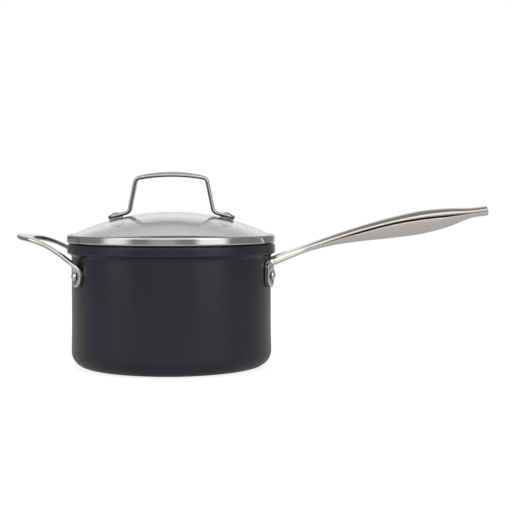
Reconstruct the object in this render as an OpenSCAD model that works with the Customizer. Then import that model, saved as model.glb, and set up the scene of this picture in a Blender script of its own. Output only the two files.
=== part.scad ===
// Saucepan with a domed glass lid: an anodised aluminium pan with a long cast handle and a
// helper loop, both riveted on, and a loose lid with a steel rim and a bent strap handle.
// The origin is the middle of the underside of the base; +Z is up, +X runs along the long handle.

/* [Pan] */
// Outside diameter of the straight wall
pan_d = 180; // [170:1:200]
// Height of the rim above the base
pan_h = 111.2; // [105:0.1:130]
// Thickness of the wall
wall_t = 3; // [2.5:0.1:4]
// Thickness of the base
base_t = 5; // [4:0.1:7]
// Radius of the outside corner between base and wall
corner_r = 14; // [10:0.5:18]
// How far the rim band stands out from the wall
rim_out = 3.8; // [3:0.1:5]

/* [Long handle] */
// Height of the middle of the rivets of both handles
rivet_z = 84; // [78:0.5:90]
// Angle between each rivet and the line of the long handle
fork_angle = 16; // [12:0.5:16]
// Width of each riveted pad
fork_pad_w = 17; // [15:0.5:19]
// Height of each riveted pad
fork_pad_h = 23; // [20:0.5:26]

/* [Helper handle] */
// Angle between each rivet and the line of the helper handle
loop_angle = 29.5; // [26:0.5:30]
// Diameter of each round pad
loop_pad_d = 19; // [17:0.5:22]

/* [Lid] */
// Radius of the outside of the glass dome
dome_r = 206.6; // [195:1:230]
// Height of the top of the dome above the rim of the pan
dome_rise = 28.8; // [26:0.1:32]
// Thickness of the glass
glass_t = 4; // [3:0.1:5]
// Height of the steel ring
ring_h = 6.7; // [6.2:0.1:8]

/* [Lid handle] */
// Thickness of the strap
strap_t = 3.2; // [2.5:0.1:4]
// Width of the strap at the legs and feet
strap_w = 14; // [11:0.5:16]
// Width of the middle of the grip
grip_w = 20; // [16:0.5:24]
// Distance of each rivet from the middle of the lid
foot_x = 50; // [48:0.5:54]
// Height of the top of the grip above the top of the glass
grip_rise = 36.2; // [32:0.1:42]

/* [Rivets] */
// Diameter of the pan rivets' shanks
shank_d = 5; // [4:0.1:6]
// Diameter of the pan rivets' outer heads
head_d = 8.2; // [7:0.1:10]

/* [Hidden] */

$fn = 96;
fit = 0.05;       // play between parts that are riveted or bonded together
seat = 0.3;       // gap left between the lid and the pan it stands on
far = 400;        // larger than anything here, for cutting away half spaces

anodised = [0.17, 0.175, 0.19];
cast_steel = [0.72, 0.7, 0.68];
ring_steel = [0.66, 0.67, 0.66];
clear_glass = [0.8, 0.87, 0.87, 0.35];
clear_rubber = [0.85, 0.87, 0.86];

wall_r = pan_d / 2;
rim_r = wall_r + rim_out;

// ---- shared shapes ----

// A rectangle between two corners, with all four corners rounded.
module rounded_rect(x0, y0, x1, y1, r) {
    translate([x0 + r, y0]) square([x1 - x0 - 2 * r, y1 - y0]);
    translate([x0, y0 + r]) square([x1 - x0, y1 - y0 - 2 * r]);
    for (x = [x0 + r, x1 - r])
        for (y = [y0 + r, y1 - r])
            translate([x, y]) circle(r);
}

// A low domed disc standing on z = 0.
module dome_cap(d, h) {
    cap_r = (d * d / 4 + h * h) / (2 * h);
    intersection() {
        translate([0, 0, h - cap_r]) sphere(cap_r);
        cylinder(d = d + 1, h = h + 1);
    }
}

// A smooth curve through rows of numbers; s counts rows from 0.
function row(rows, i) = rows[max(0, min(len(rows) - 1, i))];
function curve(rows, s) =
    let (
        i = min(floor(s), len(rows) - 2),
        t = s - i,
        a = row(rows, i - 1),
        b = row(rows, i),
        c = row(rows, i + 1),
        d = row(rows, i + 2)
    )
    b + 0.5 * t * ((c - a) + t * ((2 * a - 5 * b + 4 * c - d) + t * (3 * (b - c) + d - a)));

// A closed solid skinned over a list of rings with the same number of points.
module skin(rings) {
    n = len(rings[0]);
    last = len(rings) - 1;
    sides = [
        for (i = [0 : last - 1], j = [0 : n - 1])
            for (side = [0, 1])
                side == 0
                    ? [i * n + j, i * n + (j + 1) % n, (i + 1) * n + (j + 1) % n]
                    : [i * n + j, (i + 1) * n + (j + 1) % n, (i + 1) * n + j]
    ];
    first_cap = [for (j = [1 : n - 2]) [0, j + 1, j]];
    last_cap = [for (j = [1 : n - 2]) [last * n, last * n + j, last * n + j + 1]];
    polyhedron([for (ring = rings) each ring], concat(first_cap, sides, last_cap));
}

// ---- pan ----

foot_r = wall_r - 17;       // edge of the flat machined base
foot_h = 0.8;               // how far the flat base stands below the corner
swell = 0.5;                // the wall swells this much just above the corner
swell_h = 26;               // height over which the swelling fades out
band_h = 8.3;               // height of the rim band
lip_round = 1.4;            // rounding of the rim's edges
band_z = pan_h - band_h;
shoulder = rim_out - 0.6;   // hollow curve between wall and band
mouth_r = wall_r + 0.3;     // inside of the rim band
mouth_z = band_z + 1.3;
inner_r = wall_r - wall_t;
inner_corner = 11;
corner_z = foot_h + corner_r;

module pan_outline() {
    square([foot_r, foot_h + 1]);
    translate([0, foot_h]) square([wall_r + swell - corner_r, corner_r]);
    translate([wall_r + swell - corner_r, corner_z]) circle(corner_r);
    polygon([
        [0, corner_z],
        [wall_r + swell, corner_z],
        [wall_r, corner_z + swell_h],
        [wall_r, band_z + 1],
        [0, band_z + 1]
    ]);
    difference() {
        translate([0, band_z - shoulder]) square([wall_r + shoulder, shoulder + lip_round]);
        translate([wall_r + shoulder, band_z - shoulder]) circle(shoulder);
    }
    rounded_rect(wall_r - 8, band_z, rim_r, pan_h, lip_round);
}

module pan_hollow() {
    translate([0, base_t]) square([inner_r - inner_corner, far]);
    translate([0, base_t + inner_corner]) square([inner_r, far]);
    translate([inner_r - inner_corner, base_t + inner_corner]) circle(inner_corner);
    polygon([
        [0, band_z - 2],
        [inner_r, band_z - 2],
        [mouth_r, mouth_z],
        [mouth_r, far],
        [0, far]
    ]);
}

// The children stand outwards on the wall at the rivets' height, their Z along the radius.
module on_wall(angle) {
    rotate([0, 0, angle]) translate([wall_r, 0, rivet_z]) rotate([0, 90, 0]) children();
}

module pan_body() {
    color(anodised) difference() {
        rotate_extrude($fn = 180) difference() {
            pan_outline();
            pan_hollow();
        }
        for (angle = [-fork_angle, fork_angle, 180 - loop_angle, 180 + loop_angle])
            on_wall(angle) cylinder(d = shank_d + 2 * fit, h = 4 * wall_t, center = true);
    }
}

// ---- pan rivets ----

pad_gap = 0.1;              // between wall and pads
fork_pad_t = 4.8;
loop_pad_t = 4.1;
inner_head_d = 13;
inner_head_h = 1.8;
head_h = 2.6;

module pan_rivet(angle, pad_t) {
    shank_in = wall_t + 0.4;
    color(cast_steel) on_wall(angle) {
        translate([0, 0, -shank_in - 0.2]) cylinder(d = shank_d, h = shank_in + pad_t + 1);
        translate([0, 0, pad_t + pad_gap + fit]) dome_cap(head_d, head_h);
        translate([0, 0, -shank_in]) mirror([0, 0, 1]) dome_cap(inner_head_d, inner_head_h);
    }
}

module long_handle_rivet_front() pan_rivet(-fork_angle, fork_pad_t);
module long_handle_rivet_back() pan_rivet(fork_angle, fork_pad_t);
module helper_handle_rivet_front() pan_rivet(180 + loop_angle, loop_pad_t);
module helper_handle_rivet_back() pan_rivet(180 - loop_angle, loop_pad_t);

// A pad of the given thickness that follows the wall, from a flat shape drawn as seen
// looking at the wall; a hole for the rivet goes through it.
module wall_pad(angle, pad_t) {
    intersection() {
        on_wall(angle) linear_extrude(20, center = true) rotate(90) children();
        difference() {
            cylinder(r = wall_r + pad_t, h = far, $fn = 180);
            translate([0, 0, -1]) cylinder(r = wall_r + pad_gap, h = far + 2, $fn = 180);
        }
    }
}

module rivet_hole(angle) {
    on_wall(angle) cylinder(d = shank_d + 2 * fit, h = 30, center = true);
}

// ---- long handle ----

// Stations along the handle: distance out from the wall, then heights above the rivets of
// the top, of the groove along the side and of the underside, then half the width, then how
// far the top falls away from the middle to the edge.
handle_rows = [
    [-9, 12.0, 8.2, 4.6, 33, 1.3],
    [4, 16.5, 12.2, 8.6, 26, 1.4],
    [18, 21.7, 17.2, 14.0, 17, 1.6],
    [36, 28.1, 23.4, 20.7, 11, 1.8],
    [60, 36.5, 32.0, 26.3, 9.8, 2.2],
    [84, 44.3, 39.4, 29.6, 11, 2.7],
    [110, 51.5, 46.2, 32.3, 12.6, 3.1],
    [136, 57.1, 50.7, 35.8, 13.4, 3.5],
    [160, 59.4, 53.2, 42.0, 12.8, 3.1],
    [180, 59.7, 55.2, 50.0, 11.6, 2.4],
    [196, 61.3, 57.5, 52.6, 10.6, 2.0]
];
handle_rings = 60;          // stations the handle is skinned over
top_steps = 8;              // points over the top of each ring
belly_steps = 12;           // points round the belly of each ring
edge_in = 0.5;              // rounding of the top's edges
groove_in = 1.2;            // depth of the groove under the side
end_lean = 0.28;            // the end leans out towards the bottom

function handle_ring(s) =
    let (
        last = len(handle_rows) - 1,
        st = curve(handle_rows, s * last),
        w = st[4],
        crest = st[1],
        side_top = crest - st[5],
        groove = st[2],
        belly_w = w - groove_in,
        lean = end_lean * pow(s, 12),
        flat = [
            for (i = [0 : top_steps])
                let (y = -1 + 2 * i / top_steps)
                [y * (w - edge_in), crest - st[5] * y * y],
            [w, side_top - edge_in],
            [w - 0.2, groove + 0.5],
            [belly_w, groove],
            for (i = [1 : belly_steps - 1])
                let (turn = 180 * i / belly_steps)
                [belly_w * cos(turn), groove - (groove - st[3]) * sin(turn)],
            [-belly_w, groove],
            [-w + 0.2, groove + 0.5],
            [-w, side_top - edge_in]
        ]
    )
    [for (p = flat) [wall_r + st[0] - lean * (p[1] - st[3]), p[0], rivet_z + p[1]]];

module fork_opening() {
    slot_end = wall_r + 11.5;
    slot_r = 3.4;
    mouth = wall_r * sin(fork_angle) - fork_pad_w / 2 + 0.5;
    translate([0, 0, rivet_z - 20]) linear_extrude(60) {
        polygon([
            [wall_r - 20, -mouth - 6],
            [wall_r - 20, mouth + 6],
            [wall_r - 2.5, mouth],
            [slot_end, slot_r],
            [slot_end, -slot_r],
            [wall_r - 2.5, -mouth]
        ]);
        translate([slot_end, 0]) circle(slot_r);
    }
}

module long_handle() {
    color(cast_steel) difference() {
        union() {
            difference() {
                skin([for (i = [0 : handle_rings]) handle_ring(i / handle_rings)]);
                fork_opening();
                cylinder(r = wall_r + pad_gap, h = far, $fn = 180);
            }
            for (angle = [-fork_angle, fork_angle])
                wall_pad(angle, fork_pad_t)
                    rounded_rect(-fork_pad_w / 2, -fork_pad_h / 2 + 1, fork_pad_w / 2, fork_pad_h / 2 + 1, 5.5);
        }
        for (angle = [-fork_angle, fork_angle]) rivet_hole(angle);
    }
}

// ---- helper handle ----

// Stations along half the loop, from a pad to the middle of the grip: distance out from the
// wall's end, sideways distance, height above the rivets, turn about Z (degrees), half the
// width and half the thickness. The loop lies in one bent sheet, turned at its ends to the pads.
loop_rows = [
    [-9.7, 45.2, 4.8, 29.5, 7.4, 1.3],
    [-8.4, 45.0, 8.6, 29.5, 7.2, 1.6],
    [-3.6, 43.6, 12.6, 15, 5.8, 2.0],
    [0.5, 42.4, 15.7, 5, 5.2, 2.0],
    [5.4, 41.0, 19.2, 0, 4.6, 2.0],
    [14.5, 37.6, 24.7, 0, 4.2, 2.0],
    [23.5, 34.0, 28.8, 0, 4.4, 2.1],
    [31.5, 29.3, 31.3, 0, 5.4, 2.3],
    [37.6, 21.8, 32.5, 0, 6.5, 2.4],
    [41.2, 11.4, 33.1, 0, 7.1, 2.5],
    [42.2, 0, 33.3, 0, 7.4, 2.5]
];
loop_rings = 34;            // stations over half the loop
loop_points = 16;           // points round each ring
fullness = 0.7;             // below 1 squares up the rings from an ellipse

function signed_pow(v, p) = (v < 0 ? -1 : 1) * pow(abs(v), p);
function unit(v) = v / norm(v);

// The whole loop runs from the front pad (s = 0) to the back pad (s = 2).
function loop_row(s) =
    let (
        last = len(loop_rows) - 1,
        st = curve(loop_rows, (s <= 1 ? s : 2 - s) * last),
        side = s <= 1 ? -1 : 1
    )
    [[-wall_r - st[0], side * st[1], rivet_z + st[2]], side * st[3], st[4], st[5]];

function loop_ring(s) =
    let (
        here = loop_row(s),
        step = 0.01,
        along = unit(loop_row(min(2, s + step))[0] - loop_row(max(0, s - step))[0]),
        near = min(0.95, s, 2 - s),
        rise = loop_row(near + step)[0] - loop_row(near)[0],
        sheet = [rise.z * cos(here[1]), -rise.z * sin(here[1]), -rise.x],
        level = unit(sheet - along * (along * sheet)),
        width = unit(cross(level, along))
    )
    [
        for (i = [0 : loop_points - 1])
            let (turn = -360 * i / loop_points)
            here[0]
            + width * here[2] * signed_pow(cos(turn), fullness)
            + level * here[3] * signed_pow(sin(turn), fullness)
    ];

module helper_handle() {
    color(cast_steel) difference() {
        union() {
            difference() {
                skin([for (i = [0 : 2 * loop_rings]) loop_ring(i / loop_rings)]);
                cylinder(r = wall_r + pad_gap, h = far, $fn = 180);
            }
            for (angle = [180 - loop_angle, 180 + loop_angle])
                wall_pad(angle, loop_pad_t) circle(d = loop_pad_d);
        }
        for (angle = [180 - loop_angle, 180 + loop_angle]) rivet_hole(angle);
    }
}

// ---- lid glass and ring ----

dome_z = pan_h + dome_rise;         // top of the dome
dome_mid = dome_z - dome_r;         // height of the dome's centre
glass_r = rim_r - 2;                // edge of the glass
ring_r = rim_r + 0.2;
ring_wall = 0.9;
ring_round = 1.4;
ring_z = pan_h + 1.9;               // bottom of the ring's outer face
ring_top = ring_z + ring_h;
ring_foot_z = pan_h + seat;         // the ring stands here
ring_foot_r = rim_r - 2;
curl_r = rim_r - 3.3;               // inner edge of the ring's top
skirt_r = mouth_r - 0.7;
skirt_drop = 4.3;                   // how far the skirt reaches into the pan
ledge_z = ring_z + 0.5;             // the glass lies above this

lid_rivet_d = 5;
grommet_wall = 0.8;
foot_tilt = asin(foot_x / dome_r);

// The children stand on the glass where a rivet of the lid handle goes, Z along the rivet.
module on_glass(side) {
    translate([0, 0, dome_mid]) rotate([0, side * foot_tilt, 0]) translate([0, 0, dome_r]) children();
}

module glass_section(play) {
    intersection() {
        translate([0, dome_mid]) difference() {
            circle(dome_r + play, $fn = 360);
            circle(dome_r - glass_t - play, $fn = 360);
        }
        translate([0, pan_h]) square([glass_r + play, 60]);
    }
}

module lid_glass() {
    color(clear_glass) difference() {
        rotate_extrude($fn = 180) glass_section(0);
        for (side = [-1, 1])
            on_glass(side) cylinder(d = lid_rivet_d + 2 * grommet_wall + 4 * fit, h = 20, center = true);
    }
}

module channel() {
    translate([skirt_r - 4, ledge_z]) square([ring_r - ring_wall - skirt_r + 4, ring_top - 0.6 - ledge_z]);
    translate([skirt_r - 4, ledge_z]) square([curl_r - skirt_r + 4, 20]);
}

module lid_rim() {
    color(ring_steel) rotate_extrude($fn = 180) {
        difference() {
            rounded_rect(skirt_r - 1.2, ring_foot_z, ring_r, ring_top, ring_round);
            channel();
            polygon([
                [ring_foot_r, ring_foot_z - 0.01],
                [ring_r + 1, ring_z + 0.3],
                [ring_r + 1, ring_foot_z - 1],
                [ring_foot_r, ring_foot_z - 1]
            ]);
        }
        rounded_rect(skirt_r - 1.3, pan_h - skirt_drop, skirt_r, ledge_z, 0.6);
    }
}

module lid_rim_seal() {
    color(clear_rubber) rotate_extrude($fn = 180) difference() {
        translate([curl_r + 0.1, ledge_z + fit])
            square([ring_r - ring_wall - curl_r - 0.1 - fit, ring_top - 0.6 - ledge_z - 2 * fit]);
        glass_section(fit);
    }
}

// ---- lid handle fixings ----

flange_t = 0.8;
flange_d = 13;
lift = 0.15;                // the flat fixings just clear the curved glass
washer_d = 12;
washer_t = 1;
lid_head_d = 8.4;
lid_head_h = 2.1;
foot_under = lift + flange_t + fit;         // underside of the strap's feet above the glass

module tube(outer_d, inner_d, z0, z1) {
    difference() {
        translate([0, 0, z0]) cylinder(d = outer_d, h = z1 - z0);
        translate([0, 0, z0 - 1]) cylinder(d = inner_d, h = z1 - z0 + 2);
    }
}

gasket_top = -glass_t - lift;
gasket_bottom = gasket_top - flange_t;
washer_top = gasket_bottom - fit;
washer_bottom = washer_top - washer_t;

module lid_grommet(side) {
    color(clear_rubber) on_glass(side) difference() {
        union() {
            translate([0, 0, lift]) cylinder(d = flange_d, h = flange_t);
            translate([0, 0, -glass_t]) cylinder(d = lid_rivet_d + 2 * grommet_wall + 2 * fit, h = glass_t + flange_t);
        }
        cylinder(d = lid_rivet_d + 2 * fit, h = 20, center = true);
    }
}

module lid_gasket(side) {
    color(clear_rubber) on_glass(side) tube(flange_d, lid_rivet_d + 2 * fit, gasket_bottom, gasket_top);
}

module lid_washer(side) {
    color(cast_steel) on_glass(side) tube(washer_d, lid_rivet_d + 2 * fit, washer_bottom, washer_top);
}

module lid_rivet(side) {
    head_z = foot_under + strap_t + fit;
    color(cast_steel) on_glass(side) {
        translate([0, 0, washer_bottom - 1]) cylinder(d = lid_rivet_d, h = head_z - washer_bottom + 1.5);
        translate([0, 0, head_z]) dome_cap(lid_head_d, lid_head_h);
        translate([0, 0, washer_bottom - fit]) mirror([0, 0, 1]) dome_cap(8, 1.6);
    }
}

module lid_rivet_left() lid_rivet(-1);
module lid_rivet_right() lid_rivet(1);
module lid_grommet_left() lid_grommet(-1);
module lid_grommet_right() lid_grommet(1);
module lid_gasket_left() lid_gasket(-1);
module lid_gasket_right() lid_gasket(1);
module lid_washer_left() lid_washer(-1);
module lid_washer_right() lid_washer(1);

// ---- lid handle strap ----

arch_x = 29;                // half the width of the grip's arch
arch_drop = 3.4;            // the arch falls this much towards its ends
crown_r = 28;               // the grip is rounded across like a barrel of this radius
bend_r = 5.2;               // middle-line radius of the upper bends
foot_bend_r = 6;            // and of the lower bends
leg_lean = 11.4;            // the legs lean out by this angle
strap_round = 1;            // rounding of the strap's edges
foot_reach = 6.8;           // from the rivet to the foot's square end

grip_z = dome_z + grip_rise;
arch_top_r = (arch_x * arch_x + arch_drop * arch_drop) / (2 * arch_drop);
arch_r = arch_top_r - strap_t / 2;
arch_mid = [0, grip_z - arch_top_r];
arch_half = asin(arch_x / arch_top_r);

// The upper bend turns from the arch's end to the leg; a point on a circle by clock angle.
function clock(angle) = [sin(angle), cos(angle)];
bend_mid = arch_mid + (arch_r - bend_r) * clock(arch_half);
leg_clock = 90 - leg_lean;
leg_top = bend_mid + bend_r * clock(leg_clock);
leg_way = [sin(leg_lean), -cos(leg_lean)];

// The foot's middle line touches a circle round the dome's centre at the rivet.
foot_line_r = dome_r + foot_under + strap_t / 2;
foot_point = [0, dome_mid] + foot_line_r * clock(foot_tilt);
foot_way = [cos(foot_tilt), -sin(foot_tilt)];

function cross2(a, b) = a[0] * b[1] - a[1] * b[0];
leg_to_corner = cross2(foot_point - leg_top, foot_way) / cross2(leg_way, foot_way);
corner = leg_top + leg_way * leg_to_corner;
foot_turn = 90 - leg_lean - foot_tilt;
trim = foot_bend_r * tan(foot_turn / 2);
foot_bend_mid = corner - leg_way * trim + foot_bend_r * [cos(leg_lean), sin(leg_lean)];

// Stations along the middle line of half the strap, from the middle of the grip to the tip
// of the foot: place (x, z), the way the outer face looks, half the width, how much of the
// grip's rounded back is left.
lens_rise = (grip_w - strap_w) / 2;
lens_r = (arch_x * arch_x + lens_rise * lens_rise) / (2 * lens_rise);
function lens_half_w(x) = grip_w / 2 - lens_r + sqrt(lens_r * lens_r - x * x);

half_w = strap_w / 2;
arch_steps = 12;
bend_steps = 8;
foot_clock = 180 + foot_tilt;
leg_end = leg_top + leg_way * (leg_to_corner - trim);
foot_end = foot_point + foot_way * foot_reach;

half_strap = [
    for (i = [0 : arch_steps])
        let (a = arch_half * i / arch_steps, p = arch_mid + arch_r * clock(a))
        [p, clock(a), lens_half_w(min(p[0], arch_x)), 1],
    for (i = [1 : bend_steps])
        let (t = i / bend_steps, a = arch_half + (leg_clock - arch_half) * t)
        [bend_mid + bend_r * clock(a), clock(a), half_w, 1 - t],
    [leg_end, clock(leg_clock), half_w, 0],
    for (i = [1 : bend_steps])
        let (a = foot_clock + foot_turn * (1 - i / bend_steps))
        [foot_bend_mid + foot_bend_r * clock(a), -clock(a), half_w, 0],
    [foot_end, clock(foot_tilt), half_w, 0]
];
function flipped(st) = [[-st[0][0], st[0][1]], [-st[1][0], st[1][1]], st[2], st[3]];
whole_strap = [
    for (i = [len(half_strap) - 1 : -1 : 1]) flipped(half_strap[i]),
    each half_strap
];

function strap_ring(st) =
    let (
        y = st[2] - strap_round,
        v = strap_t / 2 - strap_round,
        flat = [
            for (k = [0 : 3]) [y, v] + strap_round * [cos(30 * k), sin(30 * k)],
            for (part = [0.5, 0, -0.5]) [part * y, strap_t / 2],
            for (k = [3 : 6]) [-y, v] + strap_round * [cos(30 * k), sin(30 * k)],
            for (k = [6 : 9]) [-y, -v] + strap_round * [cos(30 * k), sin(30 * k)],
            for (part = [-0.5, 0, 0.5]) [part * y, -strap_t / 2],
            for (k = [9 : 12]) [y, -v] + strap_round * [cos(30 * k), sin(30 * k)]
        ]
    )
    [
        for (p = flat)
            let (out = p[1] - st[3] * p[0] * p[0] / (2 * crown_r))
            [st[0][0] + st[1][0] * out, p[0], st[0][1] + st[1][1] * out]
    ];

module lid_handle() {
    color(cast_steel) difference() {
        skin([for (st = whole_strap) strap_ring(st)]);
        for (side = [-1, 1])
            on_glass(side) cylinder(d = lid_rivet_d + 2 * fit, h = 20, center = true);
    }
}

pan_body();
long_handle();
long_handle_rivet_front();
long_handle_rivet_back();
helper_handle();
helper_handle_rivet_front();
helper_handle_rivet_back();
lid_glass();
lid_rim();
lid_rim_seal();
lid_handle();
lid_rivet_left();
lid_rivet_right();
lid_grommet_left();
lid_grommet_right();
lid_gasket_left();
lid_gasket_right();
lid_washer_left();
lid_washer_right();
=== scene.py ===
import math

import bmesh
import bpy
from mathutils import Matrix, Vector


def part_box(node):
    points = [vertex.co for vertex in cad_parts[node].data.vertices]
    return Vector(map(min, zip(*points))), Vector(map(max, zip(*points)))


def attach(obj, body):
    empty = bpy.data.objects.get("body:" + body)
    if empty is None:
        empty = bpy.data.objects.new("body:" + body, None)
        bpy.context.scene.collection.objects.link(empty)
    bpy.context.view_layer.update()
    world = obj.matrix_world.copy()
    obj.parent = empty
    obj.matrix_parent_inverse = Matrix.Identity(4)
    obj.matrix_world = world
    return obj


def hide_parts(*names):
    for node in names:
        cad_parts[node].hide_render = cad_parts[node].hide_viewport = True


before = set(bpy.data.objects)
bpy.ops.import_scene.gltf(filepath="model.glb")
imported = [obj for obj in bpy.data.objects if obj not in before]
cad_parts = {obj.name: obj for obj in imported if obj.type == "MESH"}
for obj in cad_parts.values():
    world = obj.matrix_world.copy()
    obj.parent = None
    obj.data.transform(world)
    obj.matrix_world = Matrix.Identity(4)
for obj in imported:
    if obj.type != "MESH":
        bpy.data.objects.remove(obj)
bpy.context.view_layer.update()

# ---------------------------------------------------------------- studio
# The pan stands on a plain pale table in a grey studio with a long soft box at each side of
# the camera, a big one overhead and a bright wall behind. The camera looks level across the
# rim from a little over a metre away.
mm = 0.001
eye = Vector((76.5, -1170, 160.6)) * mm
pitch_down = math.radians(2.97)
sensor_mm = 36
lens_mm = 90.8

camera_data = bpy.data.cameras.new("camera")
camera_data.sensor_width = sensor_mm
camera_data.lens = lens_mm
camera_data.clip_start = 0.01
camera = bpy.data.objects.new("camera", camera_data)
camera.location = eye
camera.rotation_euler = (math.radians(90) - pitch_down, 0, 0)
bpy.context.collection.objects.link(camera)
bpy.context.scene.camera = camera
bpy.context.scene.view_settings.view_transform = "Standard"


def add_node(nodes, kind, **values):
    """A shader or geometry node with its plain settings given by name."""
    made = nodes.new(kind)
    for key, value in values.items():
        setattr(made, key, value)
    return made


def math_node(tree, operation, first, second=None, third=None):
    """A Math node; each input is a number or another node's output."""
    made = add_node(tree.nodes, "ShaderNodeMath", operation=operation)
    for slot, value in enumerate((first, second, third)):
        if isinstance(value, bpy.types.NodeSocket):
            tree.links.new(value, made.inputs[slot])
        elif value is not None:
            made.inputs[slot].default_value = value
    return made.outputs[0]


def band(tree, value, low, high, soft):
    """1 between low and high, falling smoothly to 0 over the width soft outside them."""
    sides = []
    for edge, way in ((low, 1), (high, -1)):
        ramp = add_node(tree.nodes, "ShaderNodeMapRange", interpolation_type="SMOOTHSTEP")
        tree.links.new(value, ramp.inputs["Value"])
        ramp.inputs["From Min"].default_value = edge - soft if way > 0 else edge
        ramp.inputs["From Max"].default_value = edge if way > 0 else edge + soft
        ramp.inputs["To Min"].default_value = 0 if way > 0 else 1
        ramp.inputs["To Max"].default_value = 1 if way > 0 else 0
        sides.append(ramp.outputs["Result"])
    return math_node(tree, "MULTIPLY", *sides)


# Lights in the studio: brightness, then the lowest and highest compass angle from the camera's
# side (right is positive) with the softness of those edges, then the same for the angle above
# the table, all in degrees.
studio_grey = 0.245
soft_lights = [
    (0.86, (-66, -52, 16), (-30, 55, 14)),
    (1.05, (38, 60, 12), (-30, 60, 14)),
    (0.20, (-14, 3, 12), (-30, 16, 12)),
    (0.90, (-55, 55, 30), (16, 92, 12)),
    (0.36, (-181, 181, 1), (72, 92, 8)),
    (0.60, (166, 181, 14), (-45, 22, 16)),
    (0.60, (-181, -166, 14), (-45, 22, 16)),
]

world = bpy.data.worlds.new("studio")
bpy.context.scene.world = world
world.use_nodes = True
tree = world.node_tree
tree.nodes.clear()
direction = add_node(tree.nodes, "ShaderNodeTexCoord").outputs["Generated"]
parts = add_node(tree.nodes, "ShaderNodeSeparateXYZ")
tree.links.new(direction, parts.inputs[0])
towards_camera = math_node(tree, "MULTIPLY", parts.outputs["Y"], -1.0)
compass = math_node(tree, "ARCTAN2", parts.outputs["X"], towards_camera)
compass = math_node(tree, "MULTIPLY", compass, 180 / math.pi)
height = math_node(tree, "ARCSINE", parts.outputs["Z"])
height = math_node(tree, "MULTIPLY", height, 180 / math.pi)
total = studio_grey
for strength, (left, right, side_soft), (low, high, end_soft) in soft_lights:
    across = band(tree, compass, left, right, side_soft)
    upright = band(tree, height, low, high, end_soft)
    lamp = math_node(tree, "MULTIPLY", math_node(tree, "MULTIPLY", across, upright), strength)
    total = math_node(tree, "ADD", total, lamp)
seen = add_node(tree.nodes, "ShaderNodeLightPath").outputs["Is Camera Ray"]
hidden = math_node(tree, "SUBTRACT", 1.0, seen)
shown = math_node(tree, "MULTIPLY_ADD", hidden, total, seen)
background = add_node(tree.nodes, "ShaderNodeBackground")
background.inputs["Color"].default_value = (1, 1, 1, 1)
tree.links.new(shown, background.inputs["Strength"])
world_out = add_node(tree.nodes, "ShaderNodeOutputWorld")
tree.links.new(background.outputs[0], world_out.inputs["Surface"])

table_r = 1.25
table_gap = 0.0002
table_mesh = bpy.data.meshes.new("table")
table_shape = bmesh.new()
bmesh.ops.create_circle(table_shape, cap_ends=True, segments=96, radius=table_r)
for vertex in table_shape.verts:
    vertex.co.z = -table_gap
table_shape.to_mesh(table_mesh)
table = bpy.data.objects.new("table", table_mesh)
bpy.context.collection.objects.link(table)
table_paint = bpy.data.materials.new("pale_table")
table_paint.use_nodes = True
paint = table_paint.node_tree.nodes["Principled BSDF"]
paint.inputs["Base Color"].default_value = (0.35, 0.35, 0.35, 1)
paint.inputs["Roughness"].default_value = 0.8
paint.inputs["Specular IOR Level"].default_value = 0.2
paint.inputs["Emission Color"].default_value = (1, 1, 1, 1)
tree = table_paint.node_tree
seen = add_node(tree.nodes, "ShaderNodeLightPath").outputs["Is Camera Ray"]
table_glow = 0.26
glow_to_camera = 0.84
glow = math_node(tree, "MULTIPLY_ADD", seen, glow_to_camera - table_glow, table_glow)
tree.links.new(glow, paint.inputs["Emission Strength"])
table_mesh.materials.append(table_paint)

# ---------------------------------------------------------------- pan body
# The pan is drawn from one disc of aluminium, turned at the rim and the base, then hard
# anodised inside and out to a dark grey satin. It is thick at the base, with a rolled band
# round the mouth and a flat foot turned on the underside.


def arc(x, y, r, start, end, steps=8):
    """Points on a circle about (x, y), between two angles in degrees."""
    turns = [math.radians(start + (end - start) * i / steps) for i in range(steps + 1)]
    return [(x + r * math.cos(t), y + r * math.sin(t)) for t in turns]


def held(points, hold=0.25, closed=False):
    """The outline with two more points near the ends of each long straight run, so that
    smooth shading stays flat there."""
    count = len(points)
    out = []
    for i, (x, y) in enumerate(points):
        out.append((x, y))
        if i + 1 == count and not closed:
            break
        nx, ny = points[(i + 1) % count]
        run = math.hypot(nx - x, ny - y)
        if run > 4 * hold:
            for share in (hold / run, 1 - hold / run):
                out.append((x + (nx - x) * share, y + (ny - y) * share))
    return out


def geometry_tree(name, inputs, output):
    """An empty geometry tree with its input and output nodes; inputs are (label, kind)."""
    made = bpy.data.node_groups.new(name, "GeometryNodeTree")
    for label, kind in inputs:
        made.interface.new_socket(label, in_out="INPUT", socket_type="NodeSocket" + kind)
    made.interface.new_socket(output, in_out="OUTPUT", socket_type="NodeSocketGeometry")
    given = add_node(made.nodes, "NodeGroupInput")
    return made, given, add_node(made.nodes, "NodeGroupOutput")


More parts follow.
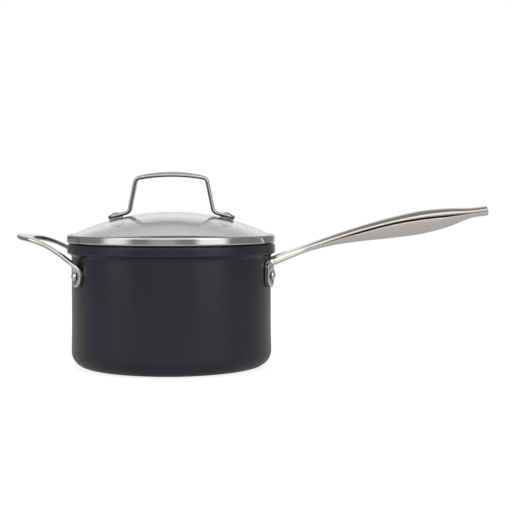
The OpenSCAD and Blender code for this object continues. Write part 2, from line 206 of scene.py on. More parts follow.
def lathe_tree():
    """Turns an outline (x = radius, y = height downwards) about the Z axis."""
    inputs = (("Outline", "Geometry"), ("Steps round", "Int"), ("Finish", "Material"))
    made, given, result = geometry_tree("lathe", inputs, "Turned piece")
    path_r = 1.0
    outline = add_node(made.nodes, "GeometryNodeMeshToCurve")
    shift = add_node(made.nodes, "GeometryNodeTransform")
    shift.inputs["Translation"].default_value = (-path_r, 0, 0)
    circle = add_node(made.nodes, "GeometryNodeCurvePrimitiveCircle", mode="RADIUS")
    circle.inputs["Radius"].default_value = path_r
    sweep = add_node(made.nodes, "GeometryNodeCurveToMesh")
    weld = add_node(made.nodes, "GeometryNodeMergeByDistance")
    weld.inputs["Distance"].default_value = 1e-6
    smooth = add_node(made.nodes, "GeometryNodeSetShadeSmooth")
    real = add_node(made.nodes, "GeometryNodeRealizeInstances")
    finish = add_node(made.nodes, "GeometryNodeSetMaterial")
    link = made.links.new
    link(given.outputs["Outline"], outline.inputs["Mesh"])
    link(outline.outputs["Curve"], shift.inputs["Geometry"])
    link(given.outputs["Steps round"], circle.inputs["Resolution"])
    link(circle.outputs["Curve"], sweep.inputs["Curve"])
    link(shift.outputs["Geometry"], sweep.inputs["Profile Curve"])
    link(sweep.outputs["Mesh"], weld.inputs["Geometry"])
    link(weld.outputs["Geometry"], smooth.inputs["Geometry"])
    link(smooth.outputs["Geometry"], real.inputs["Geometry"])
    link(real.outputs["Geometry"], finish.inputs["Geometry"])
    link(given.outputs["Finish"], finish.inputs["Material"])
    link(finish.outputs["Geometry"], result.inputs["Turned piece"])
    return made


def bake_tree(name, source_mesh, made_tree, inputs):
    """Runs a geometry tree over a mesh and keeps the result as a plain object."""
    holder = bpy.data.objects.new(name + "_source", source_mesh)
    bpy.context.collection.objects.link(holder)
    modifier = holder.modifiers.new("make", "NODES")
    modifier.node_group = made_tree
    for item in made_tree.interface.items_tree:
        if item.item_type == "SOCKET" and item.in_out == "INPUT" and item.name in inputs:
            modifier[item.identifier] = inputs[item.name]
    graph = bpy.context.evaluated_depsgraph_get()
    mesh = bpy.data.meshes.new_from_object(holder.evaluated_get(graph), depsgraph=graph)
    holder.modifiers.clear()
    bpy.data.objects.remove(holder)
    mesh.name = name
    made = bpy.data.objects.new(name, mesh)
    bpy.context.collection.objects.link(made)
    return made


def face_outwards(piece):
    """Points every face of a closed piece outwards."""
    shape = bmesh.new()
    shape.from_mesh(piece.data)
    bmesh.ops.remove_doubles(shape, verts=shape.verts, dist=1e-6)
    bmesh.ops.recalc_face_normals(shape, faces=shape.faces)
    shape.to_mesh(piece.data)
    shape.free()


lathe = lathe_tree()


def outline_mesh(name, outline, closed=False):
    """A chain of edges through an outline of (radius, height) in millimetres."""
    mesh = bpy.data.meshes.new(name + "_outline")
    edges = [(i, i + 1) for i in range(len(outline) - 1)]
    if closed:
        edges.append((len(outline) - 1, 0))
    mesh.from_pydata([(r * mm, -z * mm, 0) for r, z in outline], edges, [])
    return mesh


def turned(name, outline, finish, steps_round=192, closed=False):
    """A piece turned from an outline of (radius, height) in millimetres."""
    mesh = outline_mesh(name, outline, closed)
    piece = bake_tree(name, mesh, lathe, {"Steps round": steps_round, "Finish": finish})
    face_outwards(piece)
    return piece


def finish_with(name, colour, metallic, roughness):
    """A material with one Principled shader, its node tree, and where a point is on the
    piece, in metres. The texture nodes are added afterwards."""
    made = bpy.data.materials.new(name)
    made.use_nodes = True
    shader = made.node_tree.nodes["Principled BSDF"]
    shader.inputs["Base Color"].default_value = (*colour, 1)
    shader.inputs["Metallic"].default_value = metallic
    shader.inputs["Roughness"].default_value = roughness
    place = add_node(made.node_tree.nodes, "ShaderNodeTexCoord").outputs["Object"]
    return made, shader, made.node_tree, place


def new_group(name, inputs, outputs):
    """An empty shader node group with float or colour sockets: name to default value."""
    made = bpy.data.node_groups.new(name, "ShaderNodeTree")
    for label, default in inputs.items():
        kind = "NodeSocketVector" if isinstance(default, tuple) else "NodeSocketFloat"
        socket = made.interface.new_socket(label, in_out="INPUT", socket_type=kind)
        socket.default_value = default
    for label in outputs:
        made.interface.new_socket(label, in_out="OUTPUT", socket_type="NodeSocketFloat")
    given = add_node(made.nodes, "NodeGroupInput")
    result = add_node(made.nodes, "NodeGroupOutput")
    return made, given.outputs, result.inputs


def noise(tree, vector, scale, detail=2.0, rough=0.5):
    """A noise texture's value over a vector."""
    made = add_node(tree.nodes, "ShaderNodeTexNoise")
    made.inputs["Scale"].default_value = scale
    made.inputs["Detail"].default_value = detail
    made.inputs["Roughness"].default_value = rough
    tree.links.new(vector, made.inputs["Vector"])
    return made.outputs["Fac"]


def stretched(tree, vector, scale):
    """The vector with each of its parts scaled."""
    made = add_node(tree.nodes, "ShaderNodeVectorMath", operation="MULTIPLY")
    tree.links.new(vector, made.inputs[0])
    made.inputs[1].default_value = scale
    return made.outputs[0]


def lathe_marks_group():
    """Fine rings left by turning: a height for bump, from the place on the piece."""
    made, given, result = new_group(
        "lathe_marks", {"Place": (0.0, 0.0, 0.0), "Rings per metre": 900.0}, ["Height", "Patches"])
    split = add_node(made.nodes, "ShaderNodeSeparateXYZ")
    made.links.new(given["Place"], split.inputs[0])
    x, y, z = split.outputs
    radius = math_node(made, "SQRT", math_node(
        made, "ADD", math_node(made, "MULTIPLY", x, x), math_node(made, "MULTIPLY", y, y)))
    rings = add_node(made.nodes, "ShaderNodeCombineXYZ")
    made.links.new(radius, rings.inputs[0])
    made.links.new(z, rings.inputs[1])
    around = math_node(made, "MULTIPLY", math_node(made, "ARCTAN2", y, x), 0.0006)
    made.links.new(around, rings.inputs[2])
    fine = add_node(made.nodes, "ShaderNodeTexNoise")
    made.links.new(rings.outputs[0], fine.inputs["Vector"])
    made.links.new(given["Rings per metre"], fine.inputs["Scale"])
    fine.inputs["Detail"].default_value = 3.0
    made.links.new(fine.outputs["Fac"], result["Height"])
    made.links.new(noise(made, given["Place"], 28.0, 3.0), result["Patches"])
    return made


def scuffs_group():
    """Hairline scuffs in a few directions: 1 on a scuff and 0 elsewhere."""
    made, given, result = new_group(
        "hairline_scuffs", {"Place": (0.0, 0.0, 0.0), "Amount": 0.5}, ["Scuff"])
    found = 0.0
    for turn, size in (((0.3, 0.9, 0.2), 40.0), ((1.2, 0.1, 1.9), 55.0), ((2.1, 0.7, 0.9), 33.0)):
        turned_place = add_node(made.nodes, "ShaderNodeVectorRotate", rotation_type="EULER_XYZ")
        made.links.new(given["Place"], turned_place.inputs["Vector"])
        turned_place.inputs["Rotation"].default_value = turn
        long_cells = stretched(made, turned_place.outputs[0], (1.0, 26.0, 1.0))
        lines = noise(made, long_cells, size, 1.0)
        line = band(made, lines, 0.498, 0.502, 0.004)
        broken = band(made, noise(made, turned_place.outputs[0], size * 1.7), 0.56, 1.0, 0.08)
        found = math_node(made, "MAXIMUM", math_node(made, "MULTIPLY", line, broken), found)
    made.links.new(math_node(made, "MULTIPLY", found, given["Amount"]), result["Scuff"])
    return made


def use_group(tree, group, **values):
    """A group node; values are numbers, vectors or sockets by the input's name."""
    made = add_node(tree.nodes, "ShaderNodeGroup", node_tree=group)
    for label, value in values.items():
        socket = made.inputs[label.replace("_", " ")]
        if isinstance(value, bpy.types.NodeSocket):
            tree.links.new(value, socket)
        else:
            socket.default_value = value
    return made.outputs


def scaled(tree, value, low, high, from_low=0.0, from_high=1.0):
    """A value mapped from one range to another."""
    made = add_node(tree.nodes, "ShaderNodeMapRange")
    tree.links.new(value, made.inputs["Value"])
    made.inputs["From Min"].default_value = from_low
    made.inputs["From Max"].default_value = from_high
    made.inputs["To Min"].default_value = low
    made.inputs["To Max"].default_value = high
    return made.outputs["Result"]


def tinted(tree, value, dark, light):
    """A colour between dark and light, by value."""
    made = add_node(tree.nodes, "ShaderNodeMix", data_type="RGBA")
    tree.links.new(value, made.inputs["Factor"])
    made.inputs[6].default_value = (*dark, 1)
    made.inputs[7].default_value = (*light, 1)
    return made.outputs[2]


def masked(tree, mask, colour, masked_colour):
    """A colour that turns into another where the mask is 1."""
    made = add_node(tree.nodes, "ShaderNodeMix", data_type="RGBA")
    tree.links.new(mask, made.inputs["Factor"])
    tree.links.new(colour, made.inputs[6])
    made.inputs[7].default_value = (*masked_colour, 1)
    return made.outputs[2]


def attribute(tree, name):
    """A number stored on the mesh."""
    return add_node(tree.nodes, "ShaderNodeAttribute", attribute_name=name).outputs["Fac"]


def raised(tree, shader, height_value, strength, distance):
    """Bump on a shader from a height value."""
    made = add_node(tree.nodes, "ShaderNodeBump")
    made.inputs["Strength"].default_value = strength
    made.inputs["Distance"].default_value = distance
    tree.links.new(height_value, made.inputs["Height"])
    tree.links.new(made.outputs["Normal"], shader.inputs["Normal"])


lathe_marks = lathe_marks_group()
scuffs = scuffs_group()

pan_high = Vector(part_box("pan_body")[1]) / mm
rim_r = pan_high.x
rim_z = pan_high.z
wall_r = rim_r - 3.8
inner_r = wall_r - 3.0
mouth_r = wall_r + 0.3
foot_r = wall_r - 17
foot_h = 0.8
foot_edge = 0.35
corner_r = 14
swell = 0.5
inner_corner = 11
base_t = 5
band_z = rim_z - 8.3
lip_round = 1.4
shoulder = 3.2
corner_mid = (wall_r + swell - corner_r, foot_h + corner_r)

pan_outline = held(
    [(0, 0)]
    + arc(foot_r - foot_edge, foot_edge, foot_edge, -90, 0, 4)
    + arc(foot_r + foot_edge, foot_h - foot_edge + 0.1, foot_edge - 0.1, 180, 90, 4)
    + arc(*corner_mid, corner_r, -90, 0, 24)
    + [(wall_r + swell * 0.4, 28), (wall_r, 42), (wall_r, 70)]
    + arc(wall_r + shoulder, band_z - shoulder, shoulder, 180, 100, 10)
    + arc(rim_r - lip_round, band_z + lip_round, lip_round, -80, 0, 6)
    + arc(rim_r - lip_round, rim_z - lip_round, lip_round, 0, 90, 8)
    + arc(mouth_r + lip_round, rim_z - lip_round, lip_round, 90, 180, 8)
    + [(mouth_r, band_z + 1.3), (inner_r, band_z - 2)]
    + arc(inner_r - inner_corner, base_t + inner_corner, inner_corner, 0, -90, 16)
    + [(40, base_t), (0, base_t)]
)

anodised, shader, tree, place = finish_with("hard_anodised", (0.02, 0.021, 0.024), 0.2, 0.38)
shader.inputs["Specular IOR Level"].default_value = 0.4
marks = use_group(tree, lathe_marks, Place=place, Rings_per_metre=1400.0)
speckle = noise(tree, place, 2600.0, 2.0)
scuff = use_group(tree, scuffs, Place=place, Amount=0.35)["Scuff"]
broad = math_node(tree, "MULTIPLY", marks["Patches"], 0.65)
shade = math_node(tree, "MULTIPLY_ADD", speckle, 0.35, broad)
colour = tinted(tree, shade, (0.0165, 0.018, 0.0235), (0.0225, 0.0245, 0.031))
tree.links.new(colour, shader.inputs["Base Color"])
plain_rough = scaled(tree, marks["Patches"], 0.26, 0.33)
rough = math_node(tree, "MULTIPLY_ADD", scuff, -0.1, plain_rough)
tree.links.new(rough, shader.inputs["Roughness"])
grain_height = math_node(tree, "MULTIPLY_ADD", speckle, 0.5, marks["Height"])
raised(tree, shader, math_node(tree, "SUBTRACT", grain_height, scuff), 0.12, 0.00008)

pan_body = turned("pan_shell", pan_outline, anodised, 224)
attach(pan_body, "pan")
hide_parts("pan_body")

# ---------------------------------------------------------------- lid glass
# A disc of tempered glass sagged into a shallow dome, with a ground edge that is held in the
# steel ring. Faintly blue-green through its thickness, with the long waves of the furnace.
lid_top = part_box("lid_glass")[1][2] / mm
dome_r = 206.6
glass_t = 4.0
glass_r = rim_r - 2
dome_mid = lid_top - dome_r


def dome_arc(r, from_radius, to_radius, steps):
    """Points on the dome's cross-section between two distances from the axis."""
    radii = [from_radius + (to_radius - from_radius) * i / steps for i in range(steps + 1)]
    return [(x, dome_mid + math.sqrt(r * r - x * x)) for x in radii]


edge_round = 0.6
glass_outline = dome_arc(dome_r - glass_t, 0, glass_r - edge_round, 40)
glass_outline += [(glass_r, glass_outline[-1][1] + edge_round)]
glass_outline += [(glass_r, glass_outline[-1][1] + glass_t - 1.5 * edge_round)]
glass_outline += dome_arc(dome_r, glass_r - edge_round, 0, 40)

lid_glass_finish, shader, tree, place = finish_with("tempered_glass", (0.985, 0.995, 0.995), 0.0, 0.02)
shader.inputs["Transmission Weight"].default_value = 1.0
shader.inputs["IOR"].default_value = 1.5
wave = noise(tree, place, 14.0, 1.0)
smear = noise(tree, stretched(tree, place, (1.0, 3.0, 1.0)), 40.0, 3.0)
tree.links.new(scaled(tree, smear, 0.01, 0.03, 0.3, 0.7), shader.inputs["Roughness"])
raised(tree, shader, wave, 0.02, 0.001)

lid_glass = turned("lid_glass_dome", glass_outline, lid_glass_finish, 192)
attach(lid_glass, "lid")
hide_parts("lid_glass")

# ---------------------------------------------------------------- lid ring and its seal
# A ring of rolled stainless strip crimped round the glass, polished along its length, with a
# short skirt that drops inside the pan's mouth. A bead of clear silicone fills the channel.
ring_low, ring_high = (Vector(corner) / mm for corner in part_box("lid_rim"))
ring_r = ring_high.x
ring_top = ring_high.z
skirt_z = ring_low.z
ring_z = ring_top - 6.7
ring_foot_z = rim_z + 0.3
skirt_r = mouth_r - 0.7
skirt_in = skirt_r - 1.3
curl_r = rim_r - 3.3
ledge_z = ring_z + 0.5
ring_round = 1.4
bead = 0.5

ring_outline = held(
    arc(skirt_in + 0.5, skirt_z + 0.5, 0.5, 180, 270, 4)
    + arc(skirt_r - 0.5, skirt_z + 0.5, 0.5, -90, 0, 4)
    + [(skirt_r, ring_foot_z), (rim_r - 2, ring_foot_z)]
    + arc(ring_r - 1.2, ring_z + 0.9, 1.2, -60, 0, 5)
    + arc(ring_r - ring_round, ring_top - ring_round, ring_round, 0, 90, 8)
    + arc(curl_r + bead / 2, ring_top - bead / 2, bead / 2, 90, 270, 6)
    + [(ring_r - 0.9, ring_top - 0.6), (ring_r - 0.9, ledge_z), (skirt_in, ledge_z)],
    closed=True,
)

ring_steel, shader, tree, place = finish_with("rolled_steel", (0.66, 0.665, 0.65), 1.0, 0.2)
marks = use_group(tree, lathe_marks, Place=place, Rings_per_metre=5200.0)
tree.links.new(scaled(tree, marks["Height"], 0.06, 0.15, 0.3, 0.7), shader.inputs["Roughness"])
colour = tinted(tree, marks["Patches"], (0.6, 0.605, 0.59), (0.7, 0.705, 0.69))
tree.links.new(colour, shader.inputs["Base Color"])
raised(tree, shader, marks["Height"], 0.05, 0.00003)

lid_ring = turned("lid_ring", ring_outline, ring_steel, 224, closed=True)
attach(lid_ring, "lid")
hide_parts("lid_rim")

silicone, shader, tree, place = finish_with("clear_silicone", (0.82, 0.85, 0.84), 0.0, 0.35)
shader.inputs["Transmission Weight"].default_value = 0.6
shader.inputs["IOR"].default_value = 1.41
cloudy = noise(tree, place, 300.0, 3.0)
tree.links.new(tinted(tree, cloudy, (0.74, 0.77, 0.76), (0.88, 0.9, 0.89)), shader.inputs["Base Color"])
tree.links.new(scaled(tree, cloudy, 0.28, 0.45), shader.inputs["Roughness"])
raised(tree, shader, cloudy, 0.1, 0.0001)


def refinish(node, finish):
    """A CAD node keeps its shape and takes a finish."""
    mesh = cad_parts[node].data
    mesh.materials.clear()
    mesh.materials.append(finish)


refinish("lid_rim_seal", silicone)
for side in ("left", "right"):
    refinish("lid_grommet_" + side, silicone)
    refinish("lid_gasket_" + side, silicone)

# ---------------------------------------------------------------- lid washers
# Two washers stamped from thin steel sheet spread the load of the rivets under the glass.
washer_steel, shader, tree, place = finish_with("stamped_steel", (0.78, 0.78, 0.77), 1.0, 0.35)
brushed = noise(tree, stretched(tree, place, (1.0, 18.0, 1.0)), 700.0, 2.0)
tree.links.new(scaled(tree, brushed, 0.25, 0.42), shader.inputs["Roughness"])
tree.links.new(tinted(tree, brushed, (0.7, 0.7, 0.69), (0.82, 0.82, 0.81)), shader.inputs["Base Color"])
raised(tree, shader, brushed, 0.15, 0.00003)
for side in ("left", "right"):
    refinish("lid_washer_" + side, washer_steel)

# ---------------------------------------------------------------- long handle
# One stainless casting: a crowned top with a groove under its edge and a full satin belly,
# forked at the root into two arms that bend down the wall as riveted pads. The top and the
# sides are polished; the belly keeps the finish of the blasting.
rivet_z = 84.0
fork_angle = 16.0
fork_pad_t = 4.8
wall_gap = 0.15


def blend_rows(rows, s):
    """A smooth curve through rows of numbers; s counts rows from 0."""
    i = min(int(s), len(rows) - 2)
    t = s - i
    a, b, c, d = (rows[max(0, min(len(rows) - 1, k))] for k in (i - 1, i, i + 1, i + 2))
    return [
        q + 0.5 * t * ((r - p) + t * ((2 * p - 5 * q + 4 * r - u) + t * (3 * (q - r) + u - p)))
        for p, q, r, u in zip(a, b, c, d)
    ]


# Distance out from the wall, then heights above the rivets of the top, the groove and the
# underside, half the width, and how far the top falls from the middle to the edge.
handle_rows = [
    (-9, 12.0, 8.2, 4.6, 33, 1.3),
    (4, 16.5, 12.2, 8.6, 26, 1.4),
    (18, 21.7, 17.2, 14.0, 17, 1.6),
    (36, 28.1, 23.4, 20.7, 11, 1.8),
    (60, 36.5, 32.0, 26.3, 9.8, 2.2),
    (84, 44.3, 39.4, 29.6, 11, 2.7),
    (110, 51.5, 46.2, 32.3, 12.6, 3.1),
    (136, 57.1, 50.7, 35.8, 13.4, 3.5),
    (160, 59.4, 53.2, 42.0, 12.8, 3.1),
    (180, 59.7, 55.2, 50.0, 11.6, 2.4),
    (196, 61.3, 57.5, 52.6, 10.6, 2.0),
]
handle_reach = handle_rows[-1][0]


def handle_row_at(out):
    """The handle's row at a distance out from the wall, found by halving."""
    low, high = 0.0, len(handle_rows) - 1.0
    for _ in range(40):
        middle = (low + high) / 2
        if blend_rows(handle_rows, middle)[0] < out:
            low = middle
        else:
            high = middle
    return blend_rows(handle_rows, low)


top_points = 8
side_points = 10
belly_points = 13
inner_points = 5
groove_from = top_points + 5
groove_to = top_points + side_points


def cast_section(inner, wide, crest, groove, under, crown, belly_end, cut=1.0, high_at=0.0):
    """Half a section of the casting, from the top's inner edge out and round to the
    underside: a top that falls from high_at to the outer edge, a rolled side band, a groove
    (cut says how deep) and the belly, a quarter (90) or half (180) of an ellipse. Points
    are (sideways, up)."""
    roll = 1.0
    points = []
    for i in range(top_points):
        y = inner + (wide - roll - inner) * i / (top_points - 1)
        points.append((y, crest - crown * ((y - high_at) / (wide - roll - high_at)) ** 2))
    roll_top = crest - crown
    slot = min(1.2, 0.34 * (groove - under)) * (0.5 + 0.5 * cut)
    slot_deep = min(2.2, 0.3 * wide) * (0.3 + 0.7 * cut)
    band = roll_top - groove - 0.25
    for turn in (24, 48, 70, 90):
        t = math.radians(turn)
        points.append((wide - roll + roll * math.sin(t), roll_top - 0.8 * band * (1 - math.cos(t))))
    belly_wide = wide - 0.5
    points += [
        (wide - 0.06, groove + 0.35),
        (wide - 0.3, groove + 0.14),
        (wide - 0.5 * slot_deep, groove + 0.08),
        (wide - slot_deep, groove - 0.2 * slot),
        (wide - slot_deep, groove - 0.8 * slot),
        (wide - 0.6 * slot_deep, groove - slot),
    ]
    reach = belly_wide - inner if belly_end == 90 else (belly_wide - inner) / 2
    middle = belly_wide - reach
    belly_top = groove - slot
    for i in range(belly_points):
        t = math.radians(3 + (belly_end - 3) * i / (belly_points - 1))
        points.append((middle + reach * math.cos(t), belly_top - (belly_top - under) * math.sin(t)))
    return points


def inner_wall(points, inner):
    """The points from the underside's inner end back up to the top's inner edge."""
    top, under = points[0][1], points[-1][1]
    step = (top - under) / (inner_points + 0.2)
    return [(inner, under + step * (i + 0.6)) for i in range(inner_points)]


# The fork's opening narrows from its mouth at the wall to a round crotch.
crotch = 14.9
crotch_r = 3.4
mouth_half = 16.6
mouth_out = -2.5


def slot_half(out):
    """Half the width of the fork's opening at a distance out from the wall."""
    round_from = crotch - crotch_r
    if out > round_from:
        return math.sqrt(max(0.0, crotch_r ** 2 - (out - round_from) ** 2))
    return mouth_half + (crotch_r - mouth_half) * (out - mouth_out) / (round_from - mouth_out)


tip_lean = 1.5
grip_steps = 36
end_holds = [handle_reach, handle_reach - 0.3, handle_reach - 1.0]
grip_stations = end_holds + [
    handle_reach - 3 - (handle_reach - 3 - crotch) * i / grip_steps for i in range(grip_steps)]
arm_stations = [crotch - 0.15, 14.0, 12.8, 11.2, 9.0, 7.0, 5.5]
lean_from = 163
lean_run = 33
groove_starts = 40
groove_ends = 190

def groove_cut_and_shade(out):
    """How deep the long handle's groove is cut, and how dark it is painted as shade: both fade out
    towards the fork and the tip.
    """
    from_fork = max(0.0, min(1.0, (out - groove_starts) / 40))
    from_tip = max(0.25, min(1.0, (groove_ends - out) / 30))
    return from_fork * from_tip


handle_rings = []
# Painted shade for each ring: the groove's cut depth, which also sets how dark the groove is painted,
# or, for the pads, how far each point is into the rivet recess.
handle_shade = []
for out in grip_stations:
    row = handle_row_at(out)
    cut = groove_cut_and_shade(out)
    lean = tip_lean * max(0.0, (out - lean_from) / lean_run) ** 3
    section = cast_section(0.0, row[4], row[1], row[2], row[3], row[5], 90, cut)
    depth = row[1] - row[3]
    handle_rings.append([
        Vector((wall_r + out - lean * (z - row[3]) / depth, y, rivet_z + z)) for y, z in section])
    handle_shade.append(cut)
for out in [crotch] + arm_stations:
    row = handle_row_at(out)
    inner = slot_half(out)
    section = cast_section(inner, row[4], row[1], row[2], row[3], row[5], 90, 0.0)
    section += inner_wall(section, inner)
    wrap = max(0.0, 1 - out / crotch)
    ring = []
    for y, z in section:
        back = wrap * wall_r * (1 - math.cos(y / wall_r))
        ring.append(Vector((wall_r + out - back, y, rivet_z + z - 0.35 * back)))
    handle_rings.append(ring)
    handle_shade.append(0.0)


recess_r = 6.6
recess_step = 1.8
recess_deep = 0.8


def recess_share(across, up):
    """1 in the shallow recess round a rivet, falling smoothly to 0 at the pad's rim."""
    share = max(0.0, min(1.0, (recess_r - math.hypot(across, up)) / recess_step))
    return share * share * (3 - 2 * share)


def pad_ring(angle, way, half, high, thick):
    """A level cut through a pad that hugs the wall: the wall's side first, then the outer
    edge, the face and the inner edge. way is the sign of the angle towards the outer edge.
    Gives the ring and how far each point is into the recess."""
    spread = [(-1 + 2 * i / (top_points - 1), 0.0) for i in range(top_points)]
    spread += [(1.0, (i + 1) / (side_points + 1)) for i in range(side_points)]
    spread += [(1 - 2 * i / (belly_points - 1), 1.0) for i in range(belly_points)]
    spread += [(-1.0, 1 - (i + 1) / (inner_points + 1)) for i in range(inner_points)]
    ring, recessed = [], []
    for u, v in spread:
        into = recess_share(u * half, high - rivet_z) if v == 1.0 else 0.0
        crowned = 0.8 * abs(u) ** 6 * v * v
        squared = 0.3 * abs(u) ** 8 * (1 - v)
        depth = wall_gap + v * (thick - wall_gap) - crowned + squared - recess_deep * into
        turn = math.radians(angle) + way * u * half / wall_r
        r = wall_r + depth
        ring.append(Vector((r * math.cos(turn), r * math.sin(turn), high)))
        recessed.append(into)
    return ring, recessed


def joining_rings(arm_end, pad_start, inwards, steps, lead_share, tail_share):
    """Rings that bend from the end of an arm into the top of its pad. The shares say how far
    the arm runs on straight and how high the pad reaches before the bend."""
    made = []
    for k in range(1, steps):
        t = k / steps
        ring = []
        for a, b in zip(arm_end, pad_start):
            reach = (a - b).length
            lead = a + inwards * reach * lead_share
            tail = b + Vector((0, 0, reach * tail_share))
            start = (1 - t) ** 3 * a + 3 * (1 - t) ** 2 * t * lead
            ring.append(start + 3 * (1 - t) * t * t * tail + t ** 3 * b)
        made.append(ring)
    return made


fork_pad_half = 8.5
fork_pad_top = rivet_z + 7.5
fork_pad_low = rivet_z - 10.4
pad_end_r = 7.0
fork_pads = []
for share in (0.0, 0.1, 0.2, 0.3, 0.4, 0.5, 0.6, 0.7, 0.78, 0.85, 0.91, 0.96, 0.99, 1.0):
    high = fork_pad_top + (fork_pad_low - fork_pad_top) * share
    past = max(0.0, 1 - (high - fork_pad_low) / pad_end_r)
    half = fork_pad_half - pad_end_r * (1 - math.sqrt(1 - past * past))
    fork_pads.append(pad_ring(fork_angle, 1, half, high, fork_pad_t))
joins = joining_rings(handle_rings[-1], fork_pads[0][0], Vector((-0.94, 0, -0.33)), 8, 0.5, 0.5)
handle_shade += [0.0] * len(joins)
handle_rings += joins
handle_rings += [ring for ring, _ in fork_pads]
handle_shade += [recessed for _, recessed in fork_pads]


# Painted shade: how much darker the recess round each rivet and the inner walls of the fork and the loop
# are painted, standing in for their shade and dark reflections.
recess_shade = 0.55
inner_shade = 0.6


def skin(name, ring_list, painted_shades, open_rings, finish, rounding_levels):
    """Skins rings of points in millimetres and mirrors them across the XZ plane. The first
    open_rings are open halves that meet their mirror images; the rest are closed. The third argument
    has, for each ring, the groove's depth, or a list of how far each point is into a recess; from it the
    groove and the recesses get painted shade, stored on the mesh, and the inner walls get painted shade
    as well."""
    shape = bmesh.new()
    satin = shape.verts.layers.float.new("satin")
    hollow = shape.verts.layers.float.new("hollow")
    rows = []
    for ring, cut in zip(ring_list, painted_shades):
        rows.append([shape.verts.new(p * mm) for p in ring])
        on_pad = isinstance(cut, list)
        for i, vertex in enumerate(rows[-1]):
            vertex[satin] = 0.0 if on_pad or i < groove_to else 1.0
            # Painted shade is stored here for the rivet recesses, the inner walls and the groove.
            if on_pad:
                vertex[hollow] = recess_shade * cut[i]
            elif i >= groove_to + belly_points:
                vertex[hollow] = inner_shade
            else:
                vertex[hollow] = cut if groove_from <= i < groove_to else 0.0
    for k in range(len(rows) - 1):
        a, b = rows[k], rows[k + 1]
        closed = k >= open_rings
        for i in range(len(b) if closed else min(len(a), len(b)) - 1):
            j = (i + 1) % len(b)
            shape.faces.new((a[i], a[j], b[j], b[i]))
    if open_rings:
        shape.faces.new(rows[0])
    shape.faces.new(reversed(rows[-1]))
    everything = shape.verts[:] + shape.edges[:] + shape.faces[:]
    copy = bmesh.ops.duplicate(shape, geom=everything)["geom"]
    copied = [part for part in copy if isinstance(part, bmesh.types.BMVert)]
    for vertex in copied:
        vertex.co.y = -vertex.co.y
    bmesh.ops.reverse_faces(shape, faces=[part for part in copy if isinstance(part, bmesh.types.BMFace)])
    bmesh.ops.remove_doubles(shape, verts=shape.verts, dist=2e-6)
    bmesh.ops.recalc_face_normals(shape, faces=shape.faces)
    mesh = bpy.data.meshes.new(name)
    shape.to_mesh(mesh)
    shape.free()
    mesh.materials.append(finish)
    for face in mesh.polygons:
        face.use_smooth = True
    made = bpy.data.objects.new(name, mesh)
    bpy.context.collection.objects.link(made)
    rounding = made.modifiers.new("rounding", "SUBSURF")
    rounding.levels = rounding.render_levels = rounding_levels
    return made


cast_steel, shader, tree, place = finish_with("cast_steel", (0.7, 0.675, 0.65), 1.0, 0.2)
blasted = attribute(tree, "satin")
in_hollow = attribute(tree, "hollow")
grain = noise(tree, stretched(tree, place, (0.12, 1.0, 1.0)), 900.0, 3.0)
patches = noise(tree, place, 35.0, 3.0)
scuff = use_group(tree, scuffs, Place=place, Amount=0.5)["Scuff"]
polish = scaled(tree, grain, 0.07, 0.16)
rough = math_node(tree, "MULTIPLY_ADD", blasted, 0.32, polish)
tree.links.new(rough, shader.inputs["Roughness"])
shade = math_node(tree, "MULTIPLY_ADD", patches, 0.6, math_node(tree, "MULTIPLY", grain, 0.4))
clean = tinted(tree, shade, (0.68, 0.65, 0.625), (0.82, 0.785, 0.755))
# Painted shade: the groove, the recesses round the rivets and the inner walls are painted near black,
# standing in for their shade and dark reflections.
colour = masked(tree, in_hollow, clean, (0.06, 0.055, 0.05))
tree.links.new(colour, shader.inputs["Base Color"])
raised(tree, shader, math_node(tree, "SUBTRACT", grain, scuff), 0.08, 0.00004)

long_handle = skin("long_handle_casting", handle_rings, handle_shade, len(grip_stations), cast_steel, 2)
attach(long_handle, "pan")
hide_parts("long_handle")

# ---------------------------------------------------------------- helper handle
# A short open loop cast in the same steel, with the same crowned top, groove and belly. It
# lies in one bent sheet, and its arms bend down the wall into round pads with a rivet in each.
loop_angle = 29.5
loop_pad_r = 9.4
loop_pad_t = 4.0

# Half the loop, from a pad to the middle of the grip: distance out from the wall's end,
# sideways distance, height above the rivets, half the width and half the thickness.
loop_rows = [
    (-3.6, 43.4, 12.6, 5.8, 2.0),
    (0.5, 42.4, 15.7, 5.2, 2.0),
    (5.4, 41.0, 19.2, 4.6, 2.0),
    (14.5, 37.6, 24.7, 4.2, 2.0),
    (23.5, 34.0, 28.8, 4.4, 2.1),
    (31.5, 29.3, 31.3, 5.4, 2.3),
    (37.6, 21.8, 32.5, 6.5, 2.4),
    (41.2, 11.4, 33.1, 7.1, 2.5),
    (42.2, 0, 33.3, 7.4, 2.5),
]
loop_steps = 44
loop_last = len(loop_rows) - 1


def loop_place(s):
    """A point on the loop's middle line, with half its width and thickness; s runs from 0
    at the pad to 1 at the middle of the grip, and on past it as a mirror image."""
    row = blend_rows(loop_rows, min(s, 2 - s) * loop_last)
    side = 1 if s <= 1 else -1
    return Vector((-wall_r - row[0], side * row[1], rivet_z + row[2])), row[3], row[4]


def loop_ring(s):
    """The casting's section, square to the loop's middle line. The loop lies in one bent
    sheet, so that both arms look thin from the side. Its slope near the middle of the grip,
    where the line runs level, is taken from a little before it."""
    middle, half_w, half_t = loop_place(s)
    step = 0.004
    along = (loop_place(s + step)[0] - loop_place(max(0.0, s - step))[0]).normalized()
    near = min(s, 0.9)
    rise = loop_place(near + step)[0] - loop_place(near)[0]
    upwards = Vector((rise.z, 0, -rise.x))
    upwards = (upwards - along * along.dot(upwards)).normalized()
    outwards = along.cross(upwards)
    outwards *= 1 if outwards.dot(Vector((middle.x + wall_r, middle.y, 0))) > 0 else -1
    fall = 0.3 * half_t
    groove = -0.1 * half_t
    section = cast_section(-half_w, half_w, half_t, groove, -half_t, fall, 180, 0.5, -0.2 * half_w)
    section += inner_wall(section, -half_w)
    return [middle + outwards * u + upwards * v for u, v in section]


